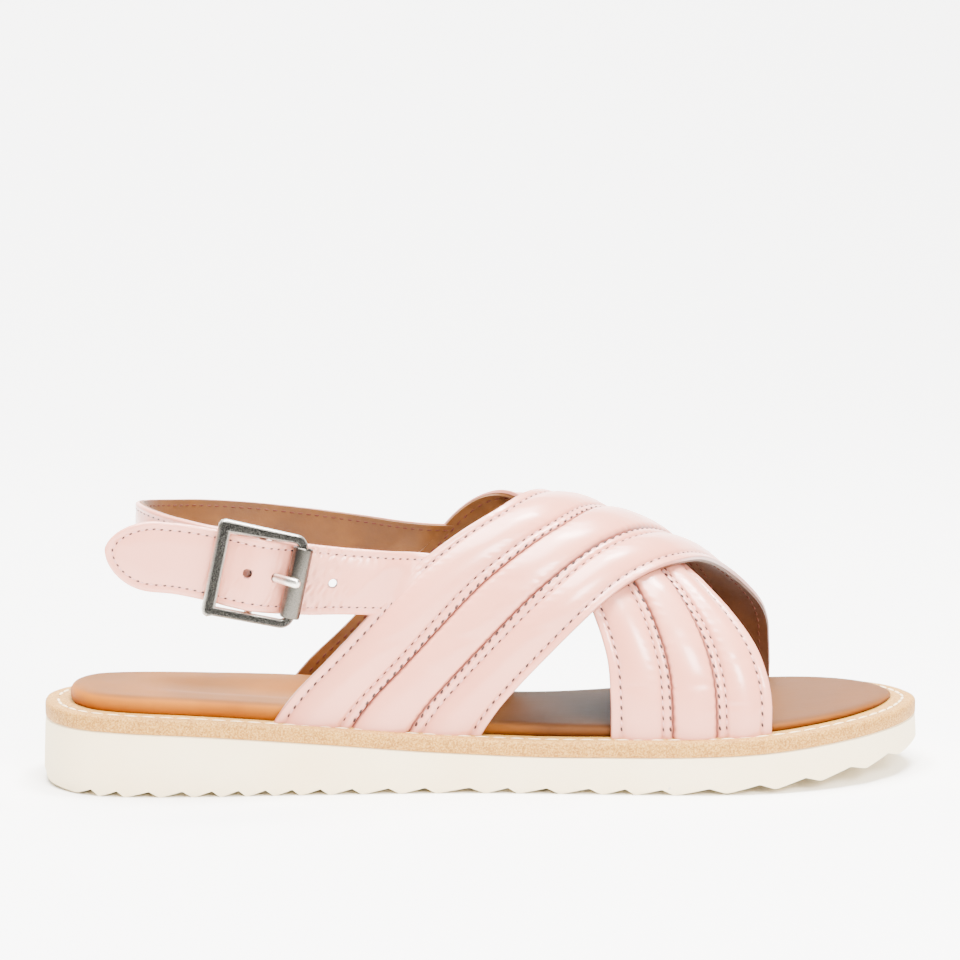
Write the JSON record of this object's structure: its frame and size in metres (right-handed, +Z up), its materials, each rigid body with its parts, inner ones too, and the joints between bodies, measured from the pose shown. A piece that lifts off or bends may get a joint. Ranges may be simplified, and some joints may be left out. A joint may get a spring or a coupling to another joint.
{
  "type": "cross strap sandal",
  "caption": "Right-foot sandal: padded straps crossing over the instep, a buckled strap round the heel, leather welt, cushioned footbed and a wedge sole with saw-tooth tread.",
  "frame": {"origin": "on the floor under the middle of the sole's bounding box", "axes": "+X along the shoe towards the toe, +Y towards its inner side, +Z up"},
  "size_m": [0.262, 0.0948, 0.0843],
  "materials": {
    "outsole_foam": "matte moulded light foam rubber, off-white",
    "welt_leather": "natural vegetable-tanned leather with a raw speckled edge",
    "footbed_leather": "smooth tan leather, also the straps' lining",
    "strap_leather": "polished pale pink calf leather, semi-gloss",
    "buckle_metal": "antique nickel plating, worn bright on its edges"
  },
  "bodies": {
    "root": {"outsole": "outsole_foam", "welt": "welt_leather", "footbed": "footbed_leather", "upper": "strap_leather", "ankle_strap_billet": "strap_leather", "heel_sling": "strap_leather", "buckle_frame": "buckle_metal", "buckle_roller": "buckle_metal", "buckle_prong": "buckle_metal"}
  },
  "joints": []
}
